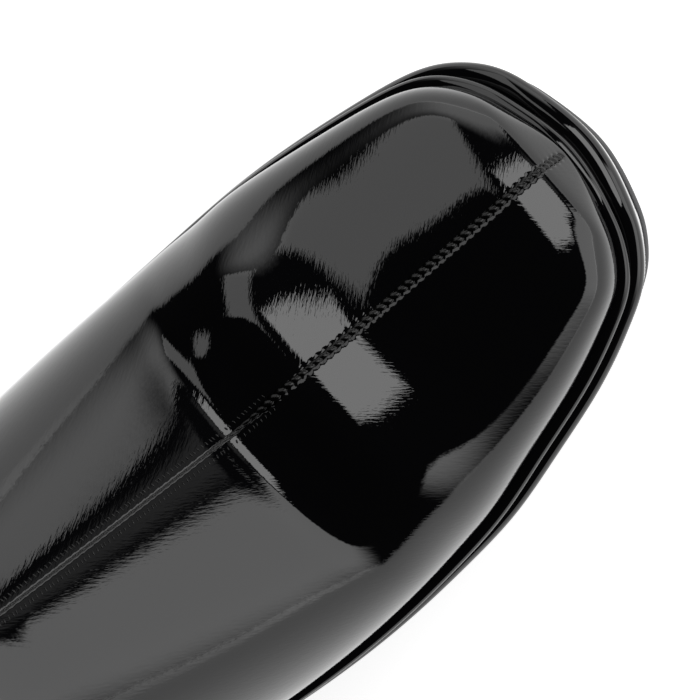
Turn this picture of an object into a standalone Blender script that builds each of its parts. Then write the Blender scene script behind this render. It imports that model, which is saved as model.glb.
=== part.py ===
"""Platform ankle boot, right foot, in metres. The toe points to -Y, up is +Z, and medial is +X.

The upper is worked out from sections that fan from the toe, over the instep, to the collar.
Each section is a line in the boot's middle plane, from the front seam down to the feather
edge or back to the back seam, with a half width to each side of it.
"""
import bmesh
import bpy
import numpy as np
from mathutils import Matrix, Vector

# Last and upper
LAST_LENGTH = 0.226
BALL_WIDTH = 0.0875
INSTEP_RISE = 0.0534
HEEL_SEAT_WIDTH = 0.0645
HEEL_PITCH = 0.065
TOE_SPRING = 0.005
SHAFT_HEIGHT = 0.140
SHAFT_DEPTH = 0.094
SHAFT_WIDTH = 0.0735
BACK_ROUNDING = 0.050
WALL = 0.002

# Sole, from the floor up
OUTSOLE_THICKNESS = 0.004
PLATFORM_THICKNESS = 0.022
MIDSOLE_THICKNESS = 0.004
INSOLE_THICKNESS = 0.003
MIDSOLE_STEP = 0.0020
PLATFORM_STEP = 0.0050
TOE_TAPER = 0.0045
SIDE_TAPER = 0.0025
TAPER_CHANGE = 0.045
PLATFORM_TAIL = 0.0015
WAIST_STEP = 0.004
OUTSOLE_LIP = 0.0004
HEEL_NARROWING = 0.12
HEEL_CENTRE_FORWARD = 0.018
TOP_PIECE_THICKNESS = 0.006

# How far in each piece's edge is rounded
INSOLE_ROUND = 0.0012
MIDSOLE_ROUND = 0.0012
PLATFORM_ROUND = 0.0014
OUTSOLE_ROUND = 0.0010
HEEL_ROUND = 0.0008

# Places along the last, from the toe tip
SPRING_END = 0.036
BALL_LINE = 0.070
TREAD_END = 0.096
PLATFORM_END = 0.134
HEEL_BREAST = 0.170

# Clearance between neighbours
GAP = 0.0003

# Sections of the foot, toe tip to heel back.
# along, lean: base and front point, shares of the last length
# rise: front point above base, share of the instep rise
# medial, lateral: half widths, shares of the ball width
# crown: how square the section's top is
FOOT_COLUMNS = ("along", "lean", "rise", "medial", "lateral", "crown")
FOOT = (
    (0.000, 0.000, 0.000, 0.000, 0.000, 3.0),
    (0.010, 0.010, 0.142, 0.142, 0.150, 4.0),
    (0.022, 0.022, 0.221, 0.227, 0.227, 4.0),
    (0.042, 0.042, 0.294, 0.299, 0.293, 4.0),
    (0.075, 0.075, 0.365, 0.356, 0.341, 3.9),
    (0.133, 0.133, 0.460, 0.399, 0.399, 3.6),
    (0.204, 0.204, 0.562, 0.435, 0.450, 3.2),
    (0.270, 0.270, 0.713, 0.457, 0.494, 2.8),
    (0.336, 0.330, 0.798, 0.465, 0.516, 2.6),
    (0.412, 0.389, 0.987, 0.463, 0.520, 2.5),
    (0.504, 0.447, 1.126, 0.451, 0.507, 2.4),
    (0.619, 0.493, 1.107, 0.438, 0.484, 2.3),
)

# Sections over the heel and the shaft, up to the collar.
# along: base point, share of the last length, up to the heel seat's back
# up: base point above the heel seat, share of the shaft height
# back: base point behind the heel seat's back, share of the shaft depth
# front: front point before the heel seat's back, share of the shaft depth
# rise: front point above base, share of the instep rise
# medial, lateral: half widths, shares of the shaft width
# crown: how square the section's front is
SHAFT_COLUMNS = ("along", "up", "back", "front", "rise", "medial", "lateral", "crown")
SHAFT = (
    (0.748, 0.000, 0.000, 1.133, 0.988, 0.514, 0.560, 2.3),
    (0.889, 0.000, 0.000, 1.074, 1.020, 0.509, 0.539, 2.4),
    (1.000, 0.000, 0.000, 1.043, 1.255, 0.503, 0.521, 2.6),
    (1.000, 0.114, 0.037, 1.027, 1.199, 0.501, 0.510, 2.8),
    (1.000, 0.300, 0.021, 1.021, 1.011, 0.497, 0.503, 2.9),
    (1.000, 0.514, -0.037, 1.021, 0.749, 0.495, 0.497, 3.0),
    (1.000, 0.743, -0.069, 1.032, 0.450, 0.497, 0.497, 3.0),
    (1.000, 1.000, -0.048, 1.048, 0.094, 0.503, 0.503, 3.0),
)

# Half widths of the feather edge and the layers that stand out past it, a row for each section.
# medial, lateral: shares of the ball, heel seat or shaft width
# midsole: how far it stands out past the feather edge, share of the midsole step
# platform_medial, platform_lateral: the same for the platform, shares of the platform step
FEATHER_COLUMNS = ("medial", "lateral", "midsole", "platform_medial", "platform_lateral")
FEATHER_OF_BALL = (
    (0.000, 0.000, 0.70, 0.96, 0.96),
    (0.142, 0.150, 0.70, 1.02, 0.88),
    (0.227, 0.227, 0.75, 1.02, 0.80),
    (0.299, 0.293, 0.85, 0.84, 0.70),
    (0.356, 0.341, 0.95, 0.68, 0.70),
    (0.399, 0.399, 1.00, 0.62, 0.74),
    (0.435, 0.450, 1.00, 0.60, 0.74),
    (0.457, 0.494, 1.00, 0.58, 0.68),
    (0.467, 0.517, 0.95, 0.54, 0.58),
    (0.469, 0.529, 0.90, 0.48, 0.50),
    (0.457, 0.519, 0.80, 0.40, 0.42),
    (0.417, 0.478, 0.65, 0.30, 0.30),
)
FEATHER_OF_SEAT = (
    (0.512, 0.574, 0.55, 0.22, 0.22),
    (0.496, 0.519, 0.50, 0.20, 0.20),
    (0.496, 0.504, 0.50, 0.20, 0.20),
)
BACK_OF_SHAFT = (
    (0.452, 0.460, 0.00, 0.00, 0.00),
    (0.472, 0.478, 0.00, 0.00, 0.00),
    (0.486, 0.488, 0.00, 0.00, 0.00),
    (0.495, 0.495, 0.00, 0.00, 0.00),
    (0.503, 0.503, 0.00, 0.00, 0.00),
)

# Looks, as linear colour and roughness
PATENT = ((0.012, 0.012, 0.013), 0.08)
RUBBER = ((0.020, 0.020, 0.020), 0.50)
SOCK = ((0.020, 0.020, 0.020), 0.60)

# Mesh steps, and the angles past which an edge is shaded sharp
SOLE_SHARP_ANGLE = 40.0
UPPER_SHARP_ANGLE = 50.0
STEPS_PER_SECTION = 3
HEEL_STEPS = (0.25, 0.50, 0.70, 0.86)
STEPS_PER_SIDE = 15

# How many rows are mirrored ahead of the toe tip to make it round
MIRRORED_ROWS = 3


def smoothstep(share):
    """An S curve from 0 to 1 that is level at both ends: 3s^2 - 2s^3."""
    share = np.clip(share, 0.0, 1.0)
    return share * share * (3.0 - 2.0 * share)


def spline(rows):
    """Natural cubic spline through a table's rows, one row apart."""
    rows = np.array(rows, dtype=float)
    count = len(rows)
    equations = np.eye(count)
    bend = np.zeros_like(rows)
    for i in range(1, count - 1):
        equations[i, i - 1:i + 2] = (1.0, 4.0, 1.0)
        bend[i] = 6.0 * (rows[i - 1] - 2.0 * rows[i] + rows[i + 1])
    bend = np.linalg.solve(equations, bend)

    def at(place):
        place = np.atleast_1d(np.asarray(place, dtype=float))
        i = np.clip(place.astype(int), 0, count - 2)
        after = (place - i)[:, None]
        before = 1.0 - after
        straight = before * rows[i] + after * rows[i + 1]
        curved = (before ** 3 - before) * bend[i] + (after ** 3 - after) * bend[i + 1]
        return straight + curved / 6.0

    return at


def bed_height(y):
    """Height of the last's bottom: toe spring, level ball, then an S up to the heel seat."""
    y = np.clip(y, 0.0, LAST_LENGTH)
    stack = OUTSOLE_THICKNESS + PLATFORM_THICKNESS + MIDSOLE_THICKNESS + 2.0 * GAP
    spring = TOE_SPRING * np.clip(1.0 - y / SPRING_END, 0.0, 1.0) ** 2
    pitch = HEEL_PITCH * smoothstep((y - BALL_LINE) / (LAST_LENGTH - BALL_LINE))
    return stack + spring + pitch


def section_rows():
    """Every section as base y, base z, front y, front z, medial, lateral, crown, in metres."""
    rows = []
    for row in FOOT:
        cell = dict(zip(FOOT_COLUMNS, row))
        base_y = cell["along"] * LAST_LENGTH
        base_z = float(bed_height(base_y)) + GAP
        rows.append((
            base_y, base_z,
            cell["lean"] * LAST_LENGTH, base_z + cell["rise"] * INSTEP_RISE,
            cell["medial"] * BALL_WIDTH, cell["lateral"] * BALL_WIDTH, cell["crown"],
        ))
    for row in SHAFT:
        cell = dict(zip(SHAFT_COLUMNS, row))
        base_y = cell["along"] * LAST_LENGTH + cell["back"] * SHAFT_DEPTH
        base_z = float(bed_height(base_y)) + GAP + cell["up"] * SHAFT_HEIGHT
        rows.append((
            base_y, base_z,
            LAST_LENGTH - cell["front"] * SHAFT_DEPTH, base_z + cell["rise"] * INSTEP_RISE,
            cell["medial"] * SHAFT_WIDTH, cell["lateral"] * SHAFT_WIDTH, cell["crown"],
        ))
    return rows


def feather_rows():
    """Half widths of the feather edge and the layers' overhang, in metres, for every section."""
    rows = []
    for table, width in ((FEATHER_OF_BALL, BALL_WIDTH), (FEATHER_OF_SEAT, HEEL_SEAT_WIDTH),
                         (BACK_OF_SHAFT, SHAFT_WIDTH)):
        for row in table:
            rows.append((
                row[0] * width, row[1] * width,
                row[2] * MIDSOLE_STEP, row[3] * PLATFORM_STEP, row[4] * PLATFORM_STEP,
            ))
    return rows


def round_toe(rows, widths):
    """Spline through the rows and their mirror images ahead of the toe tip.

    The mirrored rows have the columns of their half widths negated, so that the toe is one
    smooth round.
    """
    rows = np.array(rows, dtype=float)
    mirrored = rows[MIRRORED_ROWS:0:-1].copy()
    mirrored[:, widths] *= -1.0
    at = spline(np.concatenate([mirrored, rows]))
    return lambda place: at(np.atleast_1d(np.asarray(place, dtype=float)) + MIRRORED_ROWS)


section_spline = round_toe(section_rows(), slice(4, 6))
feather_spline = round_toe(feather_rows(), slice(0, 2))
HEEL_BACK = len(FEATHER_OF_BALL) + len(FEATHER_OF_SEAT) - 1
COLLAR = len(FOOT) + len(SHAFT) - 1


def ease_at_heel(place):
    """Slows the base to a stop where it turns from the feather edge up the back seam.

    Within one row of the heel's back the distance s to it becomes 6s^3 - 8s^4 + 3s^5.
    """
    place = np.atleast_1d(np.asarray(place, dtype=float))
    off = place - HEEL_BACK
    near = np.minimum(np.abs(off), 1.0)
    eased = near ** 3 * (6.0 - 8.0 * near + 3.0 * near ** 2)
    return np.where(np.abs(off) < 1.0, HEEL_BACK + np.sign(off) * eased, place)


def section_at(place):
    """Section values at each place. Up to the heel's back the base lies on the last's bottom."""
    values = section_spline(place)
    base = ease_at_heel(place)
    values[:, :2] = section_spline(base)[:, :2]
    on_bed = base <= HEEL_BACK
    values[on_bed, 1] = bed_height(values[on_bed, 0]) + GAP
    return values


def edge_at(place):
    """Half widths and overhang of the feather edge at each place."""
    return feather_spline(ease_at_heel(place))


def stations(first, last, more=()):
    """Places of the mesh's sections, closer together where the heel turns round."""
    places = [i / STEPS_PER_SECTION for i in range(COLLAR * STEPS_PER_SECTION + 1)]
    places = [p for p in places if not HEEL_BACK - 1 < p < HEEL_BACK]
    places += [HEEL_BACK - 1 + step for step in HEEL_STEPS]
    return np.array(sorted([p for p in places if first < p < last] + [first, last, *more]))


def back_line(z):
    """The back seam's y at each height, from the sections that end on it."""
    place = np.linspace(HEEL_BACK, COLLAR, 60)
    base = section_at(place)
    return np.interp(z, base[:, 1], base[:, 0])


def back_rounding(y, z):
    """Share of the width left near the back: 1 ahead of it, falling to 0 in a round at it."""
    ahead = np.clip((back_line(z) - y) / BACK_ROUNDING, 0.0, 1.0)
    return np.sqrt(np.clip(1.0 - (1.0 - ahead) ** 3, 0.0, 1.0))


def upper_side(place, down, side):
    """Points of one side, for each section place and each share of the way down from the seam.

    The half width is zero at the front seam and grows as the root of 1 - (1 - down)^crown.
    """
    base_y, base_z, front_y, front_z, medial, lateral, crown = section_at(place).T[:, :, None]
    y = front_y + (base_y - front_y) * down
    z = front_z + (base_z - front_z) * down
    edge = edge_at(place)[:, 0 if side > 0 else 1][:, None]
    full = medial if side > 0 else lateral
    width = full + (edge - full) * smoothstep((down - 0.35) / 0.65)
    front_round = np.sqrt(np.clip(1.0 - (1.0 - down) ** crown, 0.0, 1.0))
    x = side * width * front_round * back_rounding(y, z)
    return np.stack([x, y, z], axis=-1)


def feather_edge(place, side, grow):
    """Plan of the feather edge, moved out level by grow along its own normal."""
    def plan(at):
        y = section_at(at)[:, 0]
        x = edge_at(at)[:, 0 if side > 0 else 1]
        return np.stack([side * x * back_rounding(y, np.zeros_like(y)), y], axis=-1)

    step = 0.01
    tangent = plan(np.minimum(place + step, HEEL_BACK)) - plan(np.maximum(place - step, 0.0))
    normal = side * np.stack([tangent[:, 1], -tangent[:, 0]], axis=-1)
    normal /= np.linalg.norm(normal, axis=1)[:, None]
    normal[place <= 0.0] = (0.0, -1.0)
    normal[place >= HEEL_BACK] = (0.0, 1.0)
    return plan(place) + normal * np.asarray(grow)[:, None]


def place_of(y):
    """The section whose base lies at y on the feather edge."""
    place = np.linspace(0.0, HEEL_BACK, 600)
    return float(np.interp(y, section_at(place)[:, 0], place))


def overhang(place, layer, side):
    """How far a layer stands out past the feather edge at each place."""
    name = layer if layer == "midsole" else layer + ("_medial" if side > 0 else "_lateral")
    return edge_at(place)[:, FEATHER_COLUMNS.index(name)]


def taper(place):
    """How far the platform's foot lies in from its shoulder: most at the toe."""
    y = section_at(place)[:, 0]
    return TOE_TAPER + (SIDE_TAPER - TOE_TAPER) * smoothstep(y / TAPER_CHANGE)


def midsole_bottom(y):
    """Underside of the midsole, which follows the last's bottom."""
    return bed_height(y) - MIDSOLE_THICKNESS


def tread_top(y):
    """Top of the outsole: under the platform it keeps to the floor, then it climbs the waist."""
    spring = TOE_SPRING * np.clip(1.0 - y / SPRING_END, 0.0, 1.0) ** 2
    waist = midsole_bottom(y) - GAP
    last = midsole_bottom(PLATFORM_END) - 2.0 * GAP - PLATFORM_TAIL
    climb = np.clip((y - TREAD_END) / (PLATFORM_END - TREAD_END), 0.0, 1.0)
    under = OUTSOLE_THICKNESS + spring + (last - OUTSOLE_THICKNESS) * climb ** 1.5
    return np.where(y > PLATFORM_END + 0.5 * WAIST_STEP, waist, under)


def make_object(name, vertices, faces, looks, sharp_angle):
    """A closed mesh object with its doubles merged, its faces outwards and its own material."""
    mesh = bpy.data.meshes.new(name)
    mesh.from_pydata([tuple(v) for v in vertices], [], faces)
    build = bmesh.new()
    build.from_mesh(mesh)
    bmesh.ops.remove_doubles(build, verts=build.verts, dist=0.00001)
    bmesh.ops.dissolve_degenerate(build, edges=build.edges, dist=0.000001)
    bmesh.ops.recalc_face_normals(build, faces=build.faces)
    build.to_mesh(mesh)
    build.free()
    mesh.shade_smooth()
    mesh.set_sharp_from_angle(angle=np.radians(sharp_angle))
    colour, roughness = looks
    material = bpy.data.materials.new(name)
    material.use_nodes = True
    shader = material.node_tree.nodes["Principled BSDF"]
    shader.inputs["Base Color"].default_value = (*colour, 1.0)
    shader.inputs["Roughness"].default_value = roughness
    shader.inputs["Metallic"].default_value = 0.0
    mesh.materials.append(material)
    item = bpy.data.objects.new(name, mesh)
    bpy.context.scene.collection.objects.link(item)
    return item


def ring_stack(name, place, rings, edge_round, grow, top, low, looks,
               narrowing=(0.0, 0.0), ends=(None, None)):
    """A solid from rings of the feather edge: a share of the edge round in, a share of the way down.

    grow gives how far the piece stands out on a side at that share, and top and low give its
    faces' heights by y. narrowing draws the plan in to the heel's centre, from the top ring to
    the last. ends are the y of a straight cut across the front or the rear. Each ring has a
    medial and a lateral run from front to rear, and strips across close the first and last.
    """
    centre = np.array((0.0, LAST_LENGTH - HEEL_CENTRE_FORWARD))
    vertices = []
    for inset, share in rings:
        for side in (1.0, -1.0):
            plan = feather_edge(place, side, grow(side, share) - inset * edge_round)
            for end, cut in zip((0, -1), ends):
                if cut is not None:
                    plan[end, 1] = cut
            y = plan[:, 1]
            z = top(y) + (low(y) - top(y)) * share
            drawn_in = narrowing[0] + (narrowing[1] - narrowing[0]) * share
            vertices.append(np.column_stack([plan + drawn_in * (centre - plan), z]))
    count = len(place)
    faces = []
    for ring in range(len(rings) - 1):
        for side in (0, 1):
            upper = (2 * ring + side) * count
            lower = upper + 2 * count
            for i in range(count - 1):
                faces.append((upper + i, upper + i + 1, lower + i + 1, lower + i))
        for i in (0, count - 1):
            upper = 2 * ring * count + i
            lower = upper + 2 * count
            faces.append((upper, upper + count, lower + count, lower))
    for ring in (0, len(rings) - 1):
        medial = 2 * ring * count
        lateral = medial + count
        for i in range(count - 1):
            faces.append((medial + i, medial + i + 1, lateral + i + 1, lateral + i))
    return make_object(name, np.concatenate(vertices), faces, looks, SOLE_SHARP_ANGLE)


def make_upper():
    """The hollow upper: its outer sections, and the same points moved in by the wall.

    The grid runs from the medial feather edge over the front seam to the lateral one. Its rows
    close into loops above the heel's back, and the first row is one point, the toe tip.
    """
    place = stations(0.0, COLLAR)
    down = 0.5 - 0.5 * np.cos(np.pi * np.linspace(0.0, 1.0, STEPS_PER_SIDE + 1))
    medial = upper_side(place, down[None, :], 1.0)
    lateral = upper_side(place, down[None, :], -1.0)
    grid = np.concatenate([medial[:, ::-1], lateral[:, 1:]], axis=1)
    rows, columns = grid.shape[:2]
    points = grid.reshape(-1, 3)
    index = np.arange(rows * columns).reshape(rows, columns)
    index[0, :] = index[0, 0]
    closed = place >= HEEL_BACK
    index[closed, -1] = index[closed, 0]
    corners = [index[:-1, :-1], index[:-1, 1:], index[1:, 1:], index[1:, :-1]]
    quads = np.stack(corners, axis=-1).reshape(-1, 4)
    out = np.cross(points[quads[:, 3]] - points[quads[:, 1]], points[quads[:, 2]] - points[quads[:, 0]])
    normals = np.zeros_like(points)
    for corner in range(4):
        np.add.at(normals, quads[:, corner], out)
    edges = np.concatenate([index[:, 0], index[:, -1], index[-1]])
    normals[edges, 2] = 0.0
    normals[index[0, 0]] = (0.0, -1.0, 0.0)
    normals /= np.maximum(np.linalg.norm(normals, axis=1), 1e-12)[:, None]
    inner = points - WALL * normals
    count = len(points)
    faces = [tuple(quad) for quad in quads] + [tuple(quad[::-1] + count) for quad in quads]
    heel_row = int(np.argmax(closed))
    rims = [(index[row, column], index[row + 1, column])
            for column in (0, columns - 1) for row in range(heel_row)]
    rims += [(index[-1, column], index[-1, column + 1]) for column in range(columns - 1)]
    faces += [(a, b, b + count, a + count) for a, b in rims]
    faces = [tuple(dict.fromkeys(int(corner) for corner in face)) for face in faces]
    faces = [face for face in faces if len(face) > 2]
    return make_object("upper", np.concatenate([points, inner]), faces, PATENT, UPPER_SHARP_ANGLE)


def make_insole():
    """The sock and board inside the upper, with its top edge eased to clear the wall."""
    place = stations(0.0, HEEL_BACK)

    def grow(side, share):
        return np.full(len(place), -WALL - GAP)

    def low(y):
        return bed_height(y) + GAP

    def top(y):
        return low(y) + INSOLE_THICKNESS

    rings = ((1.0, 0.0), (0.33, 0.27), (0.17, 1.0))
    return ring_stack("insole", place, rings, INSOLE_ROUND, grow, top, low, SOCK)


def make_midsole():
    """A thin strip with a rounded edge all round, under the upper from toe to heel."""
    place = stations(0.0, HEEL_BACK)

    def grow(side, share):
        return overhang(place, "midsole", side)

    rings = ((1.0, 0.0), (0.25, 0.15), (0.0, 0.5), (0.25, 0.85), (0.83, 1.0))
    return ring_stack("midsole", place, rings, MIDSOLE_ROUND, grow, bed_height, midsole_bottom, PATENT)


def make_platform():
    """The forefoot block. Its side leans in towards the floor and it runs out at the waist."""
    place = stations(0.0, place_of(PLATFORM_END))

    def grow(side, share):
        return overhang(place, "platform", side) - taper(place) * share ** 1.5

    def top(y):
        return midsole_bottom(y) - GAP

    def low(y):
        return np.minimum(tread_top(y) + GAP, top(y) - PLATFORM_TAIL)

    rings = ((1.0, 0.0), (0.29, 0.03), (0.0, 0.09), (0.0, 0.5), (0.0, 1.0))
    return ring_stack("platform", place, rings, PLATFORM_ROUND, grow, top, low, PATENT,
                      ends=(None, PLATFORM_END))


def make_outsole():
    """The rubber sole under the platform and up the waist to the heel's breast."""
    tail = (place_of(PLATFORM_END), place_of(PLATFORM_END + WAIST_STEP))
    place = stations(0.0, place_of(HEEL_BREAST), tail)

    def grow(side, share):
        return overhang(place, "platform", side) - taper(place) + OUTSOLE_LIP

    def low(y):
        return tread_top(y) - OUTSOLE_THICKNESS

    rings = ((0.4, 0.0), (0.0, 0.15), (0.0, 0.75), (1.0, 1.0))
    return ring_stack("outsole", place, rings, OUTSOLE_ROUND, grow, tread_top, low, RUBBER,
                      ends=(None, HEEL_BREAST))


def make_heel():
    """The block heel under the seat. It narrows towards the floor and ends on its top piece."""
    place = stations(place_of(HEEL_BREAST), HEEL_BACK)

    def grow(side, share):
        return overhang(place, "platform", side)

    def top(y):
        return midsole_bottom(y) - GAP

    def low(y):
        return np.full(len(y), TOP_PIECE_THICKNESS + GAP)

    rings = ((1.0, 0.0), (0.0, 0.02), (0.0, 0.5), (0.0, 0.99), (0.75, 1.0))
    return ring_stack("heel", place, rings, HEEL_ROUND, grow, top, low, PATENT,
                      narrowing=(0.0, HEEL_NARROWING), ends=(HEEL_BREAST + GAP, None))


def make_top_piece():
    """The rubber piece that the heel stands on."""
    place = stations(place_of(HEEL_BREAST), HEEL_BACK)

    def grow(side, share):
        return overhang(place, "platform", side)

    def top(y):
        return np.full(len(y), TOP_PIECE_THICKNESS)

    def low(y):
        return np.zeros(len(y))

    rings = ((0.5, 0.0), (0.0, 0.1), (0.0, 0.85), (1.0, 1.0))
    return ring_stack("heel_top_piece", place, rings, HEEL_ROUND, grow, top, low, RUBBER,
                      narrowing=(HEEL_NARROWING, HEEL_NARROWING), ends=(HEEL_BREAST + GAP, None))


def stand_on_origin(items):
    """Moves the meshes so that the origin is on the floor under the middle of the boot."""
    corners = np.array([v.co for item in items for v in item.data.vertices])
    low, high = corners.min(axis=0), corners.max(axis=0)
    middle = (0.5 * (low[0] + high[0]), 0.5 * (low[1] + high[1]), low[2])
    for item in items:
        item.data.transform(Matrix.Translation(-Vector(middle)))


for old in list(bpy.data.objects):
    bpy.data.objects.remove(old, do_unlink=True)

stand_on_origin([
    make_upper(),
    make_insole(),
    make_midsole(),
    make_platform(),
    make_outsole(),
    make_heel(),
    make_top_piece(),
])
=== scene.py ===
"""Platform ankle boot for the right foot, in black patent leather.

Metres. The toe points to -Y, up is +Z, and the wearer's medial side is +X.
"""

import bmesh
import bpy
import numpy as np
from mathutils import Matrix, Vector


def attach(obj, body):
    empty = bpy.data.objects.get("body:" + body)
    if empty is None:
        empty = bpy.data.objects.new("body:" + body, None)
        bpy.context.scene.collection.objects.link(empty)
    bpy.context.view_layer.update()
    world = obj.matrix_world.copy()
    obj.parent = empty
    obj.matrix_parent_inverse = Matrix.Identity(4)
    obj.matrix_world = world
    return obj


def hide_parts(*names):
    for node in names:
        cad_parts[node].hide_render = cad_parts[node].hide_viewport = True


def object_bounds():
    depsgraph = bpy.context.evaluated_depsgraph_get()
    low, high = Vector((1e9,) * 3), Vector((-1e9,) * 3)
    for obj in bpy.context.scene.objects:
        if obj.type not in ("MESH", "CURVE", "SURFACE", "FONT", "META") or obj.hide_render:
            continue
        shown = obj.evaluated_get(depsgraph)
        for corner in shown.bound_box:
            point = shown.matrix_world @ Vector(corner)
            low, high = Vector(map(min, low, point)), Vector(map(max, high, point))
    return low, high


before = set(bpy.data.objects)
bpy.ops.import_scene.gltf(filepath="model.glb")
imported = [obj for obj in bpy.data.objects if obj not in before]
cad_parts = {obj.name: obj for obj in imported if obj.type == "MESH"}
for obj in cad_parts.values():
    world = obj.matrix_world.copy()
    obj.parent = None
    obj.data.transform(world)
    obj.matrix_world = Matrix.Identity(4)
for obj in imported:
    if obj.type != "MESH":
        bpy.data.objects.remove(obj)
cad_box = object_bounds()

# The last
# The wooden form that the upper is pulled over. Its sections fan from the toe over the instep
# to the collar, and every piece of the boot is cut to it.
LAST_LENGTH = 0.226
BALL_WIDTH = 0.0875
INSTEP_RISE = 0.0534
HEEL_SEAT_WIDTH = 0.0645
HEEL_PITCH = 0.065
TOE_SPRING = 0.005
SPRING_END = 0.036
BALL_LINE = 0.070
SHAFT_HEIGHT = 0.140
SHAFT_DEPTH = 0.094
SHAFT_WIDTH = 0.0735
BACK_ROUNDING = 0.050
SOLE_STACK = 0.0306
GAP = 0.0003
EDGE_BLEND = 0.35
MIRRORED_ROWS = 3
BACK_SAMPLES = 4000
# along, lean, rise, medial, lateral, crown: base and front point and height as shares of the
# last length and instep rise, half widths as shares of the ball width
FOOT = (
    (0.000, 0.000, 0.000, 0.000, 0.000, 3.0),
    (0.010, 0.010, 0.142, 0.142, 0.150, 4.0),
    (0.022, 0.022, 0.221, 0.227, 0.227, 4.0),
    (0.042, 0.042, 0.294, 0.299, 0.293, 4.0),
    (0.075, 0.075, 0.365, 0.356, 0.341, 3.9),
    (0.133, 0.133, 0.460, 0.399, 0.399, 3.6),
    (0.204, 0.204, 0.562, 0.435, 0.450, 3.2),
    (0.270, 0.270, 0.713, 0.457, 0.494, 2.8),
    (0.336, 0.330, 0.798, 0.465, 0.516, 2.6),
    (0.412, 0.389, 0.987, 0.463, 0.520, 2.5),
    (0.504, 0.447, 1.126, 0.451, 0.507, 2.4),
    (0.619, 0.493, 1.107, 0.438, 0.484, 2.3),
)
# along, up, back, front, rise, medial, lateral, crown: shares of the last length, the shaft's
# height, depth twice, the instep rise and the shaft's width twice
SHAFT = (
    (0.748, 0.000, 0.000, 1.133, 0.988, 0.514, 0.560, 2.3),
    (0.889, 0.000, 0.000, 1.074, 1.020, 0.509, 0.539, 2.4),
    (1.000, 0.000, 0.000, 1.043, 1.255, 0.503, 0.521, 2.6),
    (1.000, 0.114, 0.037, 1.027, 1.199, 0.501, 0.510, 2.8),
    (1.000, 0.300, 0.021, 1.021, 1.011, 0.497, 0.503, 2.9),
    (1.000, 0.514, -0.037, 1.021, 0.749, 0.495, 0.497, 3.0),
    (1.000, 0.743, -0.069, 1.032, 0.450, 0.497, 0.497, 3.0),
    (1.000, 1.000, -0.048, 1.048, 0.094, 0.503, 0.503, 3.0),
)
# medial and lateral half widths of the feather edge, as shares of the ball width, the heel
# seat's width and the shaft's width
FEATHER_OF_BALL = (
    (0.000, 0.000), (0.142, 0.150), (0.227, 0.227), (0.299, 0.293), (0.356, 0.341), (0.399, 0.399),
    (0.435, 0.450), (0.457, 0.494), (0.467, 0.517), (0.469, 0.529), (0.457, 0.519), (0.417, 0.478),
)
FEATHER_OF_SEAT = ((0.512, 0.574), (0.496, 0.519), (0.496, 0.504))
BACK_OF_SHAFT = ((0.452, 0.460), (0.472, 0.478), (0.486, 0.488), (0.495, 0.495), (0.503, 0.503))
HEEL_BACK = len(FEATHER_OF_BALL) + len(FEATHER_OF_SEAT) - 1
COLLAR = len(FOOT) + len(SHAFT) - 1

# The last's own origin is its toe tip on the floor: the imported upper's foremost point.
toe_tip = min((v.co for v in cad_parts["upper"].data.vertices), key=lambda co: co.y)
ORIGIN = np.array((toe_tip.x, toe_tip.y, 0.0))


def smoothstep(share):
    """An S curve from 0 to 1, level at both ends: 3s^2 - 2s^3."""
    share = np.clip(share, 0.0, 1.0)
    return share * share * (3.0 - 2.0 * share)


def spline(rows):
    """Natural cubic spline through a table's rows, one row apart."""
    rows = np.array(rows, dtype=float)
    count = len(rows)
    equations = np.eye(count)
    bend = np.zeros_like(rows)
    for i in range(1, count - 1):
        equations[i, i - 1:i + 2] = (1.0, 4.0, 1.0)
        bend[i] = 6.0 * (rows[i - 1] - 2.0 * rows[i] + rows[i + 1])
    bend = np.linalg.solve(equations, bend)

    def at(place):
        place = np.atleast_1d(np.asarray(place, dtype=float))
        i = np.clip(place.astype(int), 0, count - 2)
        after = (place - i)[:, None]
        before = 1.0 - after
        straight = before * rows[i] + after * rows[i + 1]
        curved = (before ** 3 - before) * bend[i] + (after ** 3 - after) * bend[i + 1]
        return straight + curved / 6.0

    return at


def bed_height(y):
    """Height of the last's bottom: toe spring, level ball, then an S up to the heel seat."""
    y = np.clip(y, 0.0, LAST_LENGTH)
    spring = TOE_SPRING * np.clip(1.0 - y / SPRING_END, 0.0, 1.0) ** 2
    pitch = HEEL_PITCH * smoothstep((y - BALL_LINE) / (LAST_LENGTH - BALL_LINE))
    return SOLE_STACK + spring + pitch


def last_rows():
    """Each section as base y, base z, front y, front z, medial, lateral, crown, in metres."""
    rows = []
    for along, lean, rise, medial, lateral, crown in FOOT:
        base_z = float(bed_height(along * LAST_LENGTH)) + GAP
        rows.append((along * LAST_LENGTH, base_z, lean * LAST_LENGTH, base_z + rise * INSTEP_RISE,
                     medial * BALL_WIDTH, lateral * BALL_WIDTH, crown))
    for along, up, back, front, rise, medial, lateral, crown in SHAFT:
        base_y = along * LAST_LENGTH + back * SHAFT_DEPTH
        base_z = float(bed_height(base_y)) + GAP + up * SHAFT_HEIGHT
        rows.append((base_y, base_z, LAST_LENGTH - front * SHAFT_DEPTH, base_z + rise * INSTEP_RISE,
                     medial * SHAFT_WIDTH, lateral * SHAFT_WIDTH, crown))
    return rows


def round_toe(rows, widths):
    """Spline through the rows and their mirror images ahead of the toe tip.

    The mirrored rows have their width columns negated, so that the toe is one smooth round.
    """
    rows = np.array(rows, dtype=float)
    mirrored = rows[MIRRORED_ROWS:0:-1].copy()
    mirrored[:, widths] *= -1.0
    at = spline(np.concatenate([mirrored, rows]))
    return lambda place: at(np.atleast_1d(np.asarray(place, dtype=float)) + MIRRORED_ROWS)


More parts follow.
